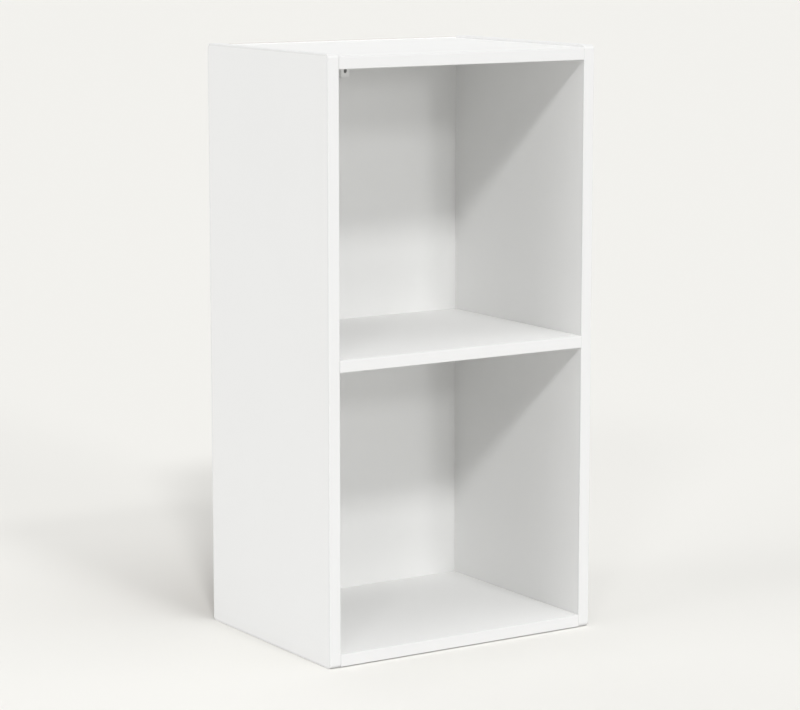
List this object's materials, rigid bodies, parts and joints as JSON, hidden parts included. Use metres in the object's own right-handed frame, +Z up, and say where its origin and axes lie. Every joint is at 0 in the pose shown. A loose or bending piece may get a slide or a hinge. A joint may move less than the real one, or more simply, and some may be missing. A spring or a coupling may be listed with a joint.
{
  "type": "open bookcase",
  "caption": "Upright open bookcase with a fixed middle shelf, a thin nailed back and a wall bracket; its dowelled boards are drawn together by cam locks that turn.",
  "frame": {"origin": "on the floor under the middle of the bookcase, the centre of its box's lower face", "axes": "+X across the front to the viewer's right, +Y from the open front to the back, +Z up"},
  "size_m": [0.376, 0.28, 0.72],
  "materials": {
    "white_board": "white melamine facing on particle board, satin",
    "edge_band": "white ABS edge banding, satin",
    "back_board": "hardboard, white inside, plain brown behind",
    "dowel_wood": "beech, unfinished",
    "cam_zinc": "die-cast zinc, bright",
    "bolt_steel": "zinc-plated steel",
    "nail_steel": "bright steel wire",
    "bracket_plastic": "white moulded plastic",
    "screw_steel": "zinc-plated steel"
  },
  "bodies": {
    "carcass": {"side_left": "white_board", "side_right": "white_board", "side_left_edge_band": "edge_band", "side_right_edge_band": "edge_band", "bottom_panel": "white_board", "middle_shelf": "white_board", "top_panel": "white_board", "bottom_front_band": "edge_band", "shelf_front_band": "edge_band", "top_front_band": "edge_band", "bottom_dowels": "dowel_wood", "shelf_dowels": "dowel_wood", "top_dowels": "dowel_wood", "bottom_cam_bolts": "bolt_steel", "top_cam_bolts": "bolt_steel", "back_panel": "back_board", "back_nails": "nail_steel", "wall_bracket": "bracket_plastic", "bracket_screw": "screw_steel"},
    "bottom_cam_left_lock": {"bottom_cam_left": "cam_zinc"},
    "bottom_cam_right_lock": {"bottom_cam_right": "cam_zinc"},
    "top_cam_left_lock": {"top_cam_left": "cam_zinc"},
    "top_cam_right_lock": {"top_cam_right": "cam_zinc"}
  },
  "joints": [
    {"name": "bottom_cam_left_turn", "type": "hinge", "parent": "carcass", "child": "bottom_cam_left_lock", "pos_m": [-0.149, -0.001, 0.007], "axis": [0, 0, 1], "range_deg": [-180, 0]},
    {"name": "bottom_cam_right_turn", "type": "hinge", "parent": "carcass", "child": "bottom_cam_right_lock", "pos_m": [0.149, -0.001, 0.007], "axis": [0, 0, 1], "range_deg": [-180, 0]},
    {"name": "top_cam_left_turn", "type": "hinge", "parent": "carcass", "child": "top_cam_left_lock", "pos_m": [-0.149, -0.001, 0.708], "axis": [0, 0, 1], "range_deg": [-180, 0]},
    {"name": "top_cam_right_turn", "type": "hinge", "parent": "carcass", "child": "top_cam_right_lock", "pos_m": [0.149, -0.001, 0.708], "axis": [0, 0, 1], "range_deg": [-180, 0]}
  ]
}
